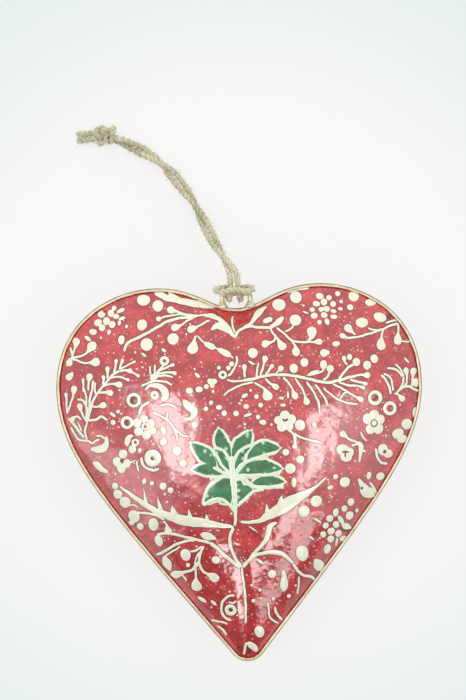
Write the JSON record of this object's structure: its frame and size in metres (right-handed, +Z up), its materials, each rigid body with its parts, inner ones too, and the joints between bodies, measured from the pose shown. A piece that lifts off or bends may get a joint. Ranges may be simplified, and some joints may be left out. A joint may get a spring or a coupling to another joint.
{
  "type": "heart ornament",
  "caption": "Hollow pressed-metal heart, painted and glossy, with a folded gold edging, a wire eye at the notch and a knotted loop of twine to hang it by.",
  "frame": {"origin": "middle of the heart's box without the twine, on the surface that the heart lies on", "axes": "+X to the right across the heart, +Y from the tip to the notch, +Z up out of the front shell"},
  "size_m": [0.1146, 0.1714, 0.035],
  "materials": {
    "red_enamel": "gloss",
    "edging_gold": "satin",
    "eye_brass": "satin",
    "solder": "dull",
    "jute": "rough plied twine"
  },
  "bodies": {
    "heart": {"front_shell": "red_enamel", "back_shell": "red_enamel", "rim_strip": "edging_gold", "hanging_eye": "eye_brass", "eye_solder_left": "solder", "eye_solder_right": "solder", "twine_hitch": "jute"},
    "hanging_loop": {"twine_strand_left": "jute", "twine_strand_right": "jute", "twine_knot": "jute", "twine_tail_upper": "jute", "twine_tail_lower": "jute"}
  },
  "joints": [
    {"name": "loop_swing", "type": "hinge", "parent": "heart", "child": "hanging_loop", "pos_m": [-0.0005, 0.0605, 0.0191], "axis": [1, 0, 0], "range_deg": [-75, 95]}
  ]
}
